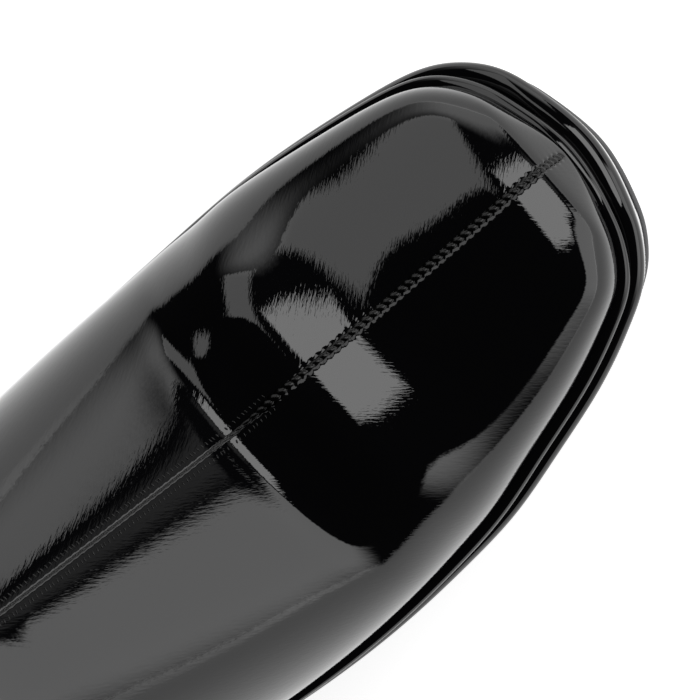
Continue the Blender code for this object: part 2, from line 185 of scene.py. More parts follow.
section_spline = round_toe(last_rows(), slice(4, 6))
feather_spline = round_toe([
    (medial * width, lateral * width)
    for table, width in ((FEATHER_OF_BALL, BALL_WIDTH), (FEATHER_OF_SEAT, HEEL_SEAT_WIDTH),
                         (BACK_OF_SHAFT, SHAFT_WIDTH))
    for medial, lateral in table
], slice(0, 2))


def ease_at_heel(place):
    """The base slows to a stop where it turns up the back seam: s becomes 6s^3 - 8s^4 + 3s^5."""
    place = np.atleast_1d(np.asarray(place, dtype=float))
    off = place - HEEL_BACK
    near = np.minimum(np.abs(off), 1.0)
    eased = near ** 3 * (6.0 - 8.0 * near + 3.0 * near ** 2)
    return np.where(np.abs(off) < 1.0, HEEL_BACK + np.sign(off) * eased, place)


def section_at(place):
    """Section values at each place. Up to the heel's back the base lies on the last's bottom."""
    values = section_spline(place)
    base = ease_at_heel(place)
    values[:, :2] = section_spline(base)[:, :2]
    on_bed = base <= HEEL_BACK
    values[on_bed, 1] = bed_height(values[on_bed, 0]) + GAP
    return values


BACK_PLACES = np.linspace(HEEL_BACK, COLLAR, BACK_SAMPLES)
BACK_LINE = section_at(BACK_PLACES)[:, :2]


def back_rounding(y, z):
    """Share of the width left near the back seam: the root of 1 - (1 - distance / rounding)^3."""
    back = np.interp(z, BACK_LINE[:, 1], BACK_LINE[:, 0])
    ahead = np.clip((back - y) / BACK_ROUNDING, 0.0, 1.0)
    return np.sqrt(np.clip(1.0 - (1.0 - ahead) ** 3, 0.0, 1.0))


def last_surface(place, down, side):
    """One side of the last, for each section place and each share of the way down its line.

    The half width is zero at the front seam and grows as the root of 1 - (1 - down)^crown.
    """
    base_y, base_z, front_y, front_z, medial, lateral, crown = section_at(place).T[:, :, None]
    y = front_y + (base_y - front_y) * down
    z = front_z + (base_z - front_z) * down
    edge = feather_spline(ease_at_heel(place))[:, 0 if side > 0 else 1][:, None]
    full = medial if side > 0 else lateral
    width = full + (edge - full) * smoothstep((down - EDGE_BLEND) / (1.0 - EDGE_BLEND))
    front_round = np.sqrt(np.clip(1.0 - (1.0 - down) ** crown, 0.0, 1.0))
    x = side * width * front_round * back_rounding(y, z)
    return np.stack([x, y, z], axis=-1)


# Upper
# Two halves of patent leather, medial and lateral, closed down the front and the back and
# lasted over the form. The wall is 2 mm, and the top edge is turned in at the collar.
WALL = 0.002
SEAM_STEP = 0.00036
SEAM_PITCH = 0.00178
SEAM_HALF_WIDTH = 0.00115
SEAM_DEPTH = 0.00030
SEAM_START = 0.004
NOTCH_DEPTH = 0.00022
PUCKER_DEPTH = 0.00004
VAMP_SEAM_END = 0.0770
SEAM_NARROWING = 0.6
NARROWING_LENGTH = 0.008
BACK_SEAM_DEPTH = 0.00035
BACK_SEAM_HALF_WIDTH = 0.0006
BACK_SEAM_START = 0.3
NEAR_SEAM = 0.0040
NEAR_COLUMNS = 22
NEAR_CROWDING = 1.3
FAR_COLUMNS = 84
LEAST_WIDTHS = 2.5
SEAM_SAMPLES = 8000
ROW_SAMPLES = 500
UPPER_SHARP = 70.0
MERGE = 0.000001
# Where the channel and a notch end, how long their slopes are and how far a pucker reaches, as
# shares of the seam's half width
CHANNEL_EDGE = 0.35
CHANNEL_SLOPE = 0.2
NOTCH_EDGE = 0.7
NOTCH_SLOPE = 0.6
PUCKER_REACH = 1.3


def running_length(points):
    """Distance along each row of points from its first point."""
    steps = np.linalg.norm(np.diff(points, axis=-2), axis=-1)
    return np.concatenate([np.zeros_like(steps[..., :1]), np.cumsum(steps, axis=-1)], axis=-1)


def upper_rows():
    """Section places that step evenly along the front seam, and each one's distance from the toe."""
    place = np.linspace(0.0, COLLAR, SEAM_SAMPLES)
    seam = section_at(place)[:, 2:4]
    length = running_length(seam)
    count = int(length[-1] / SEAM_STEP)
    at = np.linspace(0.0, length[-1], count)
    return np.interp(at, length, place), at


def upper_grid(place, side):
    """Points of one half of the upper, each row's distances from the front seam, and its girth.

    Columns stand close together near the seam and evenly over the rest of the row. On a row
    shorter than LEAST_WIDTHS times NEAR_SEAM the near ones are drawn in to match.
    """
    down = 0.5 - 0.5 * np.cos(np.pi * np.linspace(0.0, 1.0, ROW_SAMPLES))
    fine = last_surface(place, down[None, :], side)
    length = running_length(fine)
    girth = length[:, -1:]
    near = NEAR_SEAM * np.linspace(0.0, 1.0, NEAR_COLUMNS + 1)[None, :] ** NEAR_CROWDING
    near = near * np.minimum(1.0, girth / (LEAST_WIDTHS * NEAR_SEAM))
    share = np.linspace(0.0, 1.0, FAR_COLUMNS + 1)[None, 1:]
    far = near[:, -1:] + (girth - near[:, -1:]) * share
    away = np.concatenate([near, far], axis=1)
    at = np.stack([np.interp(row, whole, down) for row, whole in zip(away, length)])
    return last_surface(place, at, side), away, girth


def seam_breadth(along):
    """Share of the front seam's full breadth: full over the vamp, narrow up the shaft."""
    return 1.0 - SEAM_NARROWING * smoothstep((along - VAMP_SEAM_END) / NARROWING_LENGTH)


def seam_relief(along, away, girth, place):
    """How far the leather stands off the last, along its normal, near its seams.

    Beside the front seam the leather dips to a narrow channel down an even slope, notched
    deeper at each stitch, and the notches fade out as fine puckers. The back seam is a groove.
    """
    across = away / (SEAM_HALF_WIDTH * seam_breadth(along))
    slope = -SEAM_DEPTH * (1.0 - smoothstep(across) * 0.5 - 0.5 * np.clip(across, 0.0, 1.0))
    channel = -SEAM_DEPTH * (1.0 - smoothstep((across - CHANNEL_EDGE) / CHANNEL_SLOPE))
    beat = 0.5 + 0.5 * np.cos(2.0 * np.pi * along / SEAM_PITCH)
    notch = -NOTCH_DEPTH * beat ** 3 * (1.0 - smoothstep((across - NOTCH_EDGE) / NOTCH_SLOPE))
    pucker = -PUCKER_DEPTH * beat ** 2 * np.exp(-across / PUCKER_REACH)
    from_back = girth - away
    closed = smoothstep((place - HEEL_BACK) / BACK_SEAM_START)
    back = -BACK_SEAM_DEPTH * np.exp(-(from_back / BACK_SEAM_HALF_WIDTH) ** 2) * closed
    return (slope + channel + notch + pucker) * seam_breadth(along) + back


# Folds across the neck of the vamp: y at the seam, y gained per metre towards medial and
# lateral, half width, height on the medial and lateral side, and how far out it fades on each
FOLDS = (
    (0.0595, 0.10, -0.05, 0.0045, 0.0006, 0.0006, 0.030, 0.034),
    (0.0690, -0.25, 0.10, 0.0050, -0.0010, -0.0010, 0.040, 0.034),
    (0.0757, 0.00, 0.00, 0.0020, -0.0010, -0.0010, 0.026, 0.030),
)
FOLD_TURN = 0.016
# The leather puffs out on the medial side of the neck: middle x and y, half widths and height
PUFF = (0.0225, 0.0640, 0.0088, 0.0110, 0.0032)


def fold_relief(points):
    """Soft ridges and troughs over the neck: height times exp(-(off / half width)^2 / 2).

    off is the distance ahead of or behind the fold's line, and each fold fades out sideways.
    """
    x, y = points[..., 0], points[..., 1]
    total = np.zeros_like(x)
    for middle, medial, lateral, width, inner, outer, medial_reach, lateral_reach in FOLDS:
        line = middle + np.where(x > 0.0, medial, lateral) * FOLD_TURN * np.tanh(np.abs(x) / FOLD_TURN)
        reach = np.where(x > 0.0, medial_reach, lateral_reach)
        fade = 1.0 - smoothstep(np.abs(x) / reach - 0.5)
        height = outer + (inner - outer) * smoothstep(0.5 + x / FOLD_TURN)
        total += height * np.exp(-0.5 * ((y - line) / width) ** 2) * fade
    middle_x, middle_y, half_x, half_y, height = PUFF
    off = ((x - middle_x) / half_x) ** 2 + ((y - middle_y) / half_y) ** 2
    return total + height * np.exp(-0.5 * off)


# Patent leather is split leather under a cast film of black polyurethane. The film mirrors the
# studio sharply, and fine creases where it was lasted break up the edges of what it mirrors.
FILM_BLACK = "#030304"
FILM_PEEL = 0.0030
CREASE_LENGTH = 0.0024
CREASE_WIDTH = 0.0004
CREASE_TURN = -45.0
UPPER_CREASE_DEPTH = 0.000022
UPPER_PEEL_DEPTH = 0.000012


def add_node(tree, kind, inputs, **settings):
    """Adds a shader node. An input is a value, or a socket that is linked to it."""
    node = tree.nodes.new(kind)
    for name, value in settings.items():
        setattr(node, name, value)
    for name, value in inputs.items():
        if isinstance(value, bpy.types.NodeSocket):
            tree.links.new(value, node.inputs[name])
        else:
            node.inputs[name].default_value = value
    return node


def linear(code):
    """An sRGB hex colour as linear red, green, blue and alpha."""
    parts = [int(code[i:i + 2], 16) / 255.0 for i in (1, 3, 5)]
    return (*[p / 12.92 if p <= 0.04045 else ((p + 0.055) / 1.055) ** 2.4 for p in parts], 1.0)


def new_material(name):
    """An empty material with its output. Returns the material, its nodes and its output node."""
    material = bpy.data.materials.new(name)
    material.use_nodes = True
    material.node_tree.nodes.clear()
    output = material.node_tree.nodes.new("ShaderNodeOutputMaterial")
    return material, material.node_tree, output


def patent_leather(name, crease_depth, peel_depth):
    """Black base under a clear film, with fine creases and a slight orange peel, in metres.

    The creases run outwards and forwards from the front seam, alike on both sides of it.
    """
    material, tree, output = new_material(name)
    place = add_node(tree, "ShaderNodeTexCoord", {}).outputs["Object"]
    axes = add_node(tree, "ShaderNodeSeparateXYZ", {"Vector": place})
    from_seam = add_node(tree, "ShaderNodeMath", {0: axes.outputs["X"], 1: float(ORIGIN[0])},
                         operation="SUBTRACT")
    mirrored = add_node(tree, "ShaderNodeMath", {0: from_seam.outputs[0]}, operation="ABSOLUTE")
    folded = add_node(tree, "ShaderNodeCombineXYZ", {
        "X": mirrored.outputs[0], "Y": axes.outputs["Y"], "Z": axes.outputs["Z"]})
    along = add_node(tree, "ShaderNodeMapping", {
        "Vector": folded.outputs[0], "Rotation": (0.0, 0.0, np.radians(CREASE_TURN)),
        "Scale": (CREASE_LENGTH, CREASE_WIDTH, CREASE_LENGTH)}, vector_type="TEXTURE")
    creases = add_node(tree, "ShaderNodeTexNoise", {
        "Vector": along.outputs["Vector"], "Scale": 1.0, "Detail": 2.0, "Roughness": 0.55})
    peel = add_node(tree, "ShaderNodeTexNoise", {
        "Vector": place, "Scale": 1.0 / FILM_PEEL, "Detail": 1.0, "Roughness": 0.5})
    fine = add_node(tree, "ShaderNodeBump", {
        "Height": creases.outputs["Fac"], "Strength": 1.0, "Distance": crease_depth})
    bumps = add_node(tree, "ShaderNodeBump", {
        "Height": peel.outputs["Fac"], "Normal": fine.outputs["Normal"],
        "Strength": 1.0, "Distance": peel_depth})
    shader = add_node(tree, "ShaderNodeBsdfPrincipled", {
        "Base Color": linear(FILM_BLACK), "Roughness": 0.5, "Specular IOR Level": 0.0,
        "Coat Weight": 1.0, "Coat Roughness": 0.02, "Coat IOR": 1.5,
        "Normal": bumps.outputs["Normal"], "Coat Normal": bumps.outputs["Normal"]})
    tree.links.new(shader.outputs["BSDF"], output.inputs["Surface"])
    return material


upper_leather = patent_leather("patent_leather_upper", UPPER_CREASE_DEPTH, UPPER_PEEL_DEPTH)


def grid_normals(grid):
    """Unit normals of a grid of points, from the cross product of its two directions."""
    normals = np.cross(np.gradient(grid, axis=1), np.gradient(grid, axis=0))
    return normals / np.maximum(np.linalg.norm(normals, axis=-1), 1e-12)[..., None]


def grid_faces(rows, columns, flip=False, first=0):
    """Quads of a grid whose points are numbered along its rows."""
    index = first + np.arange(rows * columns).reshape(rows, columns)
    corners = [index[:-1, :-1], index[:-1, 1:], index[1:, 1:], index[1:, :-1]]
    quads = np.stack(corners[::-1] if flip else corners, axis=-1)
    return quads.reshape(-1, 4)


def add_mesh(name, vertices, faces, materials, sharp_angle=60.0, closed=False):
    """A smooth mesh object in the boot's frame, with doubled points merged.

    A closed shell gets its faces turned outwards. An open one keeps them as they come.
    """
    mesh = bpy.data.meshes.new(name)
    mesh.from_pydata(np.asarray(vertices) + ORIGIN, [], faces)
    build = bmesh.new()
    build.from_mesh(mesh)
    bmesh.ops.remove_doubles(build, verts=build.verts, dist=MERGE)
    if closed:
        bmesh.ops.recalc_face_normals(build, faces=build.faces)
    build.to_mesh(mesh)
    build.free()
    mesh.shade_smooth()
    mesh.set_sharp_from_angle(angle=np.radians(sharp_angle))
    for material in materials:
        mesh.materials.append(material)
    item = bpy.data.objects.new(name, mesh)
    bpy.context.scene.collection.objects.link(item)
    return item


seam_places, seam_length = upper_rows()
STITCH_COLUMN = 11
stitch_lines = []
for half, side in (("medial_half", 1.0), ("lateral_half", -1.0)):
    grid, away, girth = upper_grid(seam_places, side)
    normals = grid_normals(grid) * side
    normals[:, 0, 0] = 0.0
    normals[0] = (0.0, -1.0, 0.0)
    relief = seam_relief(seam_length[:, None], away, girth, seam_places[:, None])
    relief = relief * smoothstep(seam_length / SEAM_START)[:, None] + fold_relief(grid)
    grid = grid + normals * relief[..., None]
    stitch_lines.append((grid[:, STITCH_COLUMN], grid[:, STITCH_COLUMN + 1] - grid[:, STITCH_COLUMN]))
    rows, columns = grid.shape[:2]
    faces = grid_faces(rows, columns, flip=side > 0)
    item = add_mesh(half, grid.reshape(-1, 3), faces, [upper_leather], UPPER_SHARP)
    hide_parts("upper")
    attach(item, "root")

# Seam cord
# Waxed black thread whipped over the front seam's channel, in short slanted turns that lie
# like beads from the toe to the neck, and fine turns on up the shaft. It starts CORD_START from
# the toe and stops CORD_END short of the collar.
CORD_STEPS_PER_TURN = 10
CORD_SIDES = 10
CORD_HALF_WIDTH = 0.00090
CORD_HEIGHT = 0.00042
CORD_START = 0.0012
CORD_END = 0.003
CORD_SLANT = 0.25
CORD_SUNK = 0.7
CORD_THINNEST = 0.55
THREAD_BLACK = "#020202"
FIBRE_SPACING = 0.00018
FIBRE_DEPTH = 0.00003


def waxed_thread(name):
    """Black waxed polyester: a dull sheen with the fibres' fine twist."""
    material, tree, output = new_material(name)
    place = add_node(tree, "ShaderNodeTexCoord", {}).outputs["Object"]
    fibres = add_node(tree, "ShaderNodeTexNoise", {
        "Vector": place, "Scale": 1.0 / FIBRE_SPACING, "Detail": 2.0})
    bump = add_node(tree, "ShaderNodeBump", {
        "Height": fibres.outputs["Fac"], "Strength": 1.0, "Distance": FIBRE_DEPTH})
    shader = add_node(tree, "ShaderNodeBsdfPrincipled", {
        "Base Color": linear(THREAD_BLACK), "Roughness": 0.2, "Specular IOR Level": 0.25,
        "Normal": bump.outputs["Normal"]})
    tree.links.new(shader.outputs["BSDF"], output.inputs["Surface"])
    return material


thread = waxed_thread("black_waxed_thread")


def seam_cord():
    """A beaded cord along the front seam, half sunk in its channel.

    Round each point the section is an ellipse that swells once a turn, by the absolute value
    of a sine, skewed along the seam so that the turns slant.
    """
    length = np.arange(CORD_START, seam_length[-1] - CORD_END, SEAM_PITCH / CORD_STEPS_PER_TURN)
    angle = np.linspace(0.0, 2.0 * np.pi, CORD_SIDES, endpoint=False)
    along = length[:, None] + CORD_SLANT * SEAM_PITCH * np.cos(angle)[None, :]
    along = np.clip(along, 0.0, seam_length[-1])
    place = np.interp(along, seam_length, seam_places)
    middle = section_at(place.ravel())[:, 2:4].reshape(*place.shape, 2)
    ahead = np.gradient(middle, axis=0)
    ahead /= np.maximum(np.linalg.norm(ahead, axis=-1), 1e-12)[..., None]
    turns = np.abs(np.sin(np.pi * length / SEAM_PITCH))[:, None]
    swell = CORD_THINNEST + (1.0 - CORD_THINNEST) * turns
    swell = swell * seam_breadth(length)[:, None]
    across = CORD_HALF_WIDTH * swell * np.cos(angle)
    up = CORD_HEIGHT * swell * np.sin(angle) - CORD_SUNK * SEAM_DEPTH
    y = middle[..., 0] - ahead[..., 1] * up
    z = middle[..., 1] + ahead[..., 0] * up
    tube = np.stack([across, y, z], axis=-1)
    tube = np.concatenate([tube, tube[:, :1]], axis=1)
    faces = grid_faces(*tube.shape[:2])
    return add_mesh("front_seam_cord", tube.reshape(-1, 3), faces.tolist(), [thread], closed=True)


cord = seam_cord()
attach(cord, "root")

# Shaft stitches
# Two rows of short slanted stitches in the same waxed thread, which hold the seam's edges down
# from the neck up the shaft, to STITCH_END short of the collar.
STITCH_PITCH = 0.0010
STITCH_HALF = (0.00022, 0.00042, 0.00012)
STITCH_SLANT = 0.5
STITCH_START = 0.0790
STITCH_END = 0.004
STITCH_SIDES = 9
STITCH_RINGS = 6


def shaft_stitches():
    """Each stitch is a flat ellipsoid on the leather, long across the seam and slanted along it."""
    count = int((seam_length[-1] - STITCH_END - STITCH_START) / STITCH_PITCH)
    at = STITCH_START + STITCH_PITCH * np.arange(count)
    row = np.searchsorted(seam_length, at)
    turn, tilt = np.meshgrid(np.linspace(0.0, 2.0 * np.pi, STITCH_SIDES),
                             np.linspace(0.0, np.pi, STITCH_RINGS))
    ball = np.stack([np.cos(turn) * np.sin(tilt), np.sin(turn) * np.sin(tilt), np.cos(tilt)], axis=-1)
    ball[..., 0] += STITCH_SLANT * ball[..., 1]
    points = []
    for line, outwards in stitch_lines:
        along = line[row + 2] - line[row - 2]
        across = outwards[row]
        frame_axes = [along, across, np.cross(along, across)]
        frame_axes = [axis / np.linalg.norm(axis, axis=1)[:, None] for axis in frame_axes]
        bead = line[row][:, None, None, :]
        for axis, half, share in zip(frame_axes, STITCH_HALF, np.moveaxis(ball, -1, 0)):
            bead = bead + axis[:, None, None, :] * half * share[None, :, :, None]
        points.append(bead)
    points = np.concatenate(points)
    size = ball.shape[0] * ball.shape[1]
    faces = np.concatenate([grid_faces(*ball.shape[:2], first=size * i) for i in range(len(points))])
    return add_mesh("shaft_stitches", points.reshape(-1, 3), faces.tolist(), [thread], closed=True)


stitches = shaft_stitches()
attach(stitches, "root")

# Midsole, platform and outsole
# A covered midsole strip and a covered platform block in the upper's patent leather, over a
# moulded rubber outsole that runs on up the waist to the heel. All follow the feather edge.
OUTSOLE_THICKNESS = 0.004
MIDSOLE_THICKNESS = 0.004
MIDSOLE_STEP = 0.0020
PLATFORM_STEP = 0.0050
TOE_TAPER = 0.0045
SIDE_TAPER = 0.0025
TAPER_CHANGE = 0.045
PLATFORM_TAIL = 0.0015
WAIST_STEP = 0.004
OUTSOLE_LIP = 0.0004
TREAD_END = 0.096
PLATFORM_END = 0.134
HEEL_BREAST = 0.170
HEEL_CENTRE_FORWARD = 0.018
EDGE_SPACING = 0.0008
COLUMNS_ACROSS = 40
EDGE_SAMPLES = 4000
PLACE_SAMPLES = 600
LEAN_POWER = 1.5
CLIMB_POWER = 1.5
SOLE_SHARP = 50.0
# A shoulder's or foot's inset and height
MIDSOLE_SHOULDER = (0.0030, 0.0020)
MIDSOLE_FOOT = (0.0012, 0.0012)
PLATFORM_SHOULDER = (0.0034, 0.0030)
PLATFORM_FOOT = (0.0006, 0.0006)
LAYER_FULL_HEIGHT = 0.004
PLATFORM_FULL_HEIGHT = 0.012
OUTSOLE_SHOULDER = (0.0005, 0.0005)
OUTSOLE_FOOT = (0.0009, 0.0009)
SOLE_CREASE_DEPTH = 0.000003
SOLE_PEEL_DEPTH = 0.000004
# How far each layer stands out past the feather edge at the last's sections: the midsole as a
# share of its step, then the platform's medial and lateral side as shares of the platform's
STANDS_OUT = (
    (0.70, 0.96, 0.96), (0.70, 1.02, 0.88), (0.75, 1.02, 0.80), (0.85, 0.84, 0.70),
    (0.95, 0.68, 0.70), (1.00, 0.62, 0.74), (1.00, 0.60, 0.74), (1.00, 0.58, 0.68),
    (0.95, 0.54, 0.58), (0.90, 0.48, 0.50), (0.80, 0.40, 0.42), (0.65, 0.30, 0.30),
    (0.55, 0.22, 0.22), (0.50, 0.20, 0.20), (0.50, 0.20, 0.20),
) + len(BACK_OF_SHAFT) * ((0.0, 0.0, 0.0),)
stands_out_spline = round_toe(np.array(STANDS_OUT) * (MIDSOLE_STEP, PLATFORM_STEP, PLATFORM_STEP),
                              slice(0, 0))


def feather_plan(place, side):
    """Plan of the feather edge on one side, as x and y."""
    y = section_at(place)[:, 0]
    x = feather_spline(ease_at_heel(place))[:, 0 if side > 0 else 1]
    return np.stack([side * x * back_rounding(y, np.zeros_like(y)), y], axis=-1)


def feather_edge(place, side, grow):
    """The feather edge's plan moved out level by grow, along its own normal."""
    step = 0.01
    tangent = (feather_plan(np.minimum(place + step, HEEL_BACK), side)
               - feather_plan(np.maximum(place - step, 0.0), side))
    normal = side * np.stack([tangent[:, 1], -tangent[:, 0]], axis=-1)
    normal /= np.linalg.norm(normal, axis=1)[:, None]
    normal[place <= 0.0] = (0.0, -1.0)
    normal[place >= HEEL_BACK] = (0.0, 1.0)
    return feather_plan(place, side) + normal * np.asarray(grow)[:, None]


def place_of(y):
    """The section whose base lies at y on the feather edge."""
    place = np.linspace(0.0, HEEL_BACK, PLACE_SAMPLES)
    return float(np.interp(y, section_at(place)[:, 0], place))


def edge_places(first, last, more=()):
    """Section places that step evenly round the feather edge between two places."""
    place = np.linspace(first, last, EDGE_SAMPLES)
    length = running_length(feather_plan(place, 1.0))
    even = np.linspace(0.0, length[-1], int(length[-1] / EDGE_SPACING))
    return np.sort(np.concatenate([np.interp(even, length, place), more]))


def stands_out(place, column):
    """How far a layer stands out past the feather edge at each place."""
    return stands_out_spline(ease_at_heel(place))[:, column]


def platform_column(side):
    """The platform's column of STANDS_OUT on a side."""
    return 1 if side > 0 else 2


def taper(place):
    """How far the platform's foot lies in from its shoulder: most at the toe."""
    y = section_at(place)[:, 0]
    return TOE_TAPER + (SIDE_TAPER - TOE_TAPER) * smoothstep(y / TAPER_CHANGE)


def midsole_bottom(y):
    """Underside of the midsole, which follows the last's bottom."""
    return bed_height(y) - MIDSOLE_THICKNESS


def tread_top(y):
    """Top of the outsole: level under the platform, then up the waist by climb^CLIMB_POWER."""
    spring = TOE_SPRING * np.clip(1.0 - y / SPRING_END, 0.0, 1.0) ** 2
    waist = midsole_bottom(y) - GAP
    last = midsole_bottom(PLATFORM_END) - 2.0 * GAP - PLATFORM_TAIL
    climb = np.clip((y - TREAD_END) / (PLATFORM_END - TREAD_END), 0.0, 1.0)
    under = OUTSOLE_THICKNESS + spring + (last - OUTSOLE_THICKNESS) * climb ** CLIMB_POWER
    return np.where(y > PLATFORM_END + 0.5 * WAIST_STEP, waist, under)


def shoulder(inset, drop, steps=9):
    """Rings round a top edge: a quarter ellipse, inset deep and drop high."""
    angle = np.linspace(0.0, 0.5 * np.pi, steps)
    return [(inset * (1.0 - np.sin(a)), 0.0, drop * (1.0 - np.cos(a))) for a in angle]


def foot(inset, rise, steps=5):
    """Rings round a bottom edge: a quarter ellipse, inset deep and rise high."""
    angle = np.linspace(0.0, 0.5 * np.pi, steps)
    return [(inset * (1.0 - np.cos(a)), 1.0, -rise * (1.0 - np.sin(a))) for a in angle]


def sole_layer(name, place, rings, grow, top, low, material, narrowing=(0.0, 0.0),
               ends=(None, None), tread=None, full_height=LAYER_FULL_HEIGHT):
    """A closed layer of the sole from rings of the feather edge.

    A ring is a distance in, a share of the way down and a further drop. grow gives how far the
    layer stands out on a side at that share, top and low its faces by y. Where the layer is
    thinner than full_height the drops shrink with it. narrowing draws the plan in to the heel's
    centre, ends cut the front or rear straight at a y, and tread raises points of the underside.
    """
    centre = np.array((0.0, LAST_LENGTH - HEEL_CENTRE_FORWARD))
    across = np.linspace(0.0, 1.0, COLUMNS_ACROSS)[:, None]
    outlines = []
    runs = []
    for inset, share, drop in rings:
        pair = []
        for side in (1.0, -1.0):
            plan = feather_edge(place, side, grow(side, share) - inset)
            for end, cut in zip((0, -1), ends):
                if cut is not None:
                    plan[end, 1] = cut
            y = plan[:, 1]
            height = top(y) - low(y)
            z = top(y) - height * share - drop * np.minimum(1.0, height / full_height)
            drawn_in = narrowing[0] + (narrowing[1] - narrowing[0]) * share
            pair.append(np.column_stack([plan + drawn_in * (centre - plan), z]))
        medial, lateral = pair
        rear = medial[-1] * (1.0 - across) + lateral[-1] * across
        front = lateral[0] * (1.0 - across) + medial[0] * across
        outlines.append(np.concatenate([medial[:-1], rear, lateral[-2:0:-1], front]))
        runs.append(pair)
    side_wall = np.stack(outlines)
    points = [side_wall.reshape(-1, 3)]
    faces = [grid_faces(*side_wall.shape[:2])]
    for medial, lateral in (runs[0], runs[-1]):
        cover = medial * (1.0 - across[..., None]) + lateral * across[..., None]
        if tread is not None and medial is runs[-1][0]:
            cover[..., 2] += tread(cover, across[..., None])
        faces.append(grid_faces(*cover.shape[:2], first=sum(len(p) for p in points)))
        points.append(cover.reshape(-1, 3))
    faces = np.concatenate(faces)
    return add_mesh(name, np.concatenate(points), faces.tolist(), [material], SOLE_SHARP, closed=True)


def midsole_overhang(side, share):
    """The midsole strip stands out the same all the way down."""
    return stands_out(midsole_places, 0)


sole_leather = patent_leather("patent_leather_sole", SOLE_CREASE_DEPTH, SOLE_PEEL_DEPTH)
midsole_places = edge_places(0.0, HEEL_BACK)
midsole = sole_layer("midsole_strip", midsole_places,
                     shoulder(*MIDSOLE_SHOULDER) + foot(*MIDSOLE_FOOT),
                     midsole_overhang, bed_height, midsole_bottom, sole_leather)
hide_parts("midsole")
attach(midsole, "root")

platform_places = edge_places(0.0, place_of(PLATFORM_END))


def platform_overhang(side, share):
    """The platform's side leans in towards the floor by its taper times share^LEAN_POWER."""
    lean = taper(platform_places) * share ** LEAN_POWER
    return stands_out(platform_places, platform_column(side)) - lean


def platform_top(y):
    """Top of the platform, just under the midsole."""
    return midsole_bottom(y) - GAP


def platform_low(y):
    """Bottom of the platform, just over the outsole."""
    return np.minimum(tread_top(y) + GAP, platform_top(y) - PLATFORM_TAIL)


walls = [(0.0, share, 0.0) for share in (0.3, 0.5, 0.7, 0.85)]
platform = sole_layer("platform_block", platform_places,
                      shoulder(*PLATFORM_SHOULDER) + walls + foot(*PLATFORM_FOOT),
                      platform_overhang, platform_top, platform_low, sole_leather,
                      ends=(None, PLATFORM_END),
                      full_height=PLATFORM_FULL_HEIGHT)
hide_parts("platform")
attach(platform, "root")

RUBBER_BLACK = "#17171a"
# The mould's spark-eroded grain is about 0.2 mm, and it is drawn as coarse as it shows
RUBBER_GRAIN = 0.0006
RUBBER_GRAIN_DEPTH = 0.00004


def moulded_rubber(name):
    """Black rubber with the fine even matt of its mould."""
    material, tree, output = new_material(name)
    place = add_node(tree, "ShaderNodeTexCoord", {}).outputs["Object"]
    grain = add_node(tree, "ShaderNodeTexNoise", {
        "Vector": place, "Scale": 1.0 / RUBBER_GRAIN, "Detail": 2.0})
    bump = add_node(tree, "ShaderNodeBump", {
        "Height": grain.outputs["Fac"], "Strength": 1.0, "Distance": RUBBER_GRAIN_DEPTH})
    shader = add_node(tree, "ShaderNodeBsdfPrincipled", {
        "Base Color": linear(RUBBER_BLACK), "Roughness": 0.55, "IOR": 1.52,
        "Normal": bump.outputs["Normal"]})
    tree.links.new(shader.outputs["BSDF"], output.inputs["Surface"])
    return material


rubber = moulded_rubber("black_rubber_outsole")
tail = (place_of(PLATFORM_END), place_of(PLATFORM_END + WAIST_STEP))
outsole_places = edge_places(0.0, place_of(HEEL_BREAST), tail)
TREAD_PITCH = 0.0060
TREAD_DEPTH = 0.0010
TREAD_BORDER = 0.14
TREAD_WAVE_HEIGHT = 0.0022
TREAD_WAVE_LENGTH = 0.024
TREAD_START = 0.010
TREAD_STOP = 0.092
TREAD_FADE = 0.006
GROOVE_EDGE = 0.35
GROOVE_SLOPE = 0.4


def outsole_overhang(side, share):
    """The outsole shows a thin lip past the platform's foot."""
    return (stands_out(outsole_places, platform_column(side)) - taper(outsole_places)
            + OUTSOLE_LIP)


def outsole_low(y):
    """Underside of the outsole."""
    return tread_top(y) - OUTSOLE_THICKNESS


def wavy_tread(points, across):
    """Rounded grooves in waves across the tread, inside a plain border: a cosine of y and x."""
    x, y = points[..., 0], points[..., 1]
    bent = y + TREAD_WAVE_HEIGHT * np.cos(2.0 * np.pi * x / TREAD_WAVE_LENGTH)
    wave = np.cos(2.0 * np.pi * bent / TREAD_PITCH)
    groove = smoothstep((wave - GROOVE_EDGE) / GROOVE_SLOPE)
    edge = np.minimum(across[..., 0], 1.0 - across[..., 0])
    inside = smoothstep((edge - 0.5 * TREAD_BORDER) / (0.5 * TREAD_BORDER))
    length = (smoothstep((y - TREAD_START) / TREAD_FADE)
              * (1.0 - smoothstep((y - TREAD_STOP) / TREAD_FADE)))
    return TREAD_DEPTH * groove * inside * length


outsole = sole_layer("rubber_outsole", outsole_places,
                     shoulder(*OUTSOLE_SHOULDER, 3) + foot(*OUTSOLE_FOOT),
                     outsole_overhang, tread_top, outsole_low, rubber,
                     ends=(None, HEEL_BREAST), tread=wavy_tread)
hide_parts("outsole")
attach(outsole, "root")

# Heel and top piece
# A block heel under the seat, covered in patent leather, that narrows towards the floor and
# stands on a nailed rubber top piece.
HEEL_NARROWING = 0.12
TOP_PIECE_THICKNESS = 0.006
HEEL_SHOULDER = (0.0010, 0.0010)
HEEL_FOOT = (0.0005, 0.0005)
TOP_PIECE_SHOULDER = (0.0004, 0.0004)
TOP_PIECE_FOOT = (0.0008, 0.0008)
heel_places = edge_places(place_of(HEEL_BREAST), HEEL_BACK)


def heel_overhang(side, share):
    """The heel stands out like the platform's column at the seat."""
    return stands_out(heel_places, platform_column(side))


def heel_low(y):
    """Bottom of the covered block."""
    return np.full(len(y), TOP_PIECE_THICKNESS + GAP)


def top_piece_top(y):
    """Top of the rubber piece."""
    return np.full(len(y), TOP_PIECE_THICKNESS)


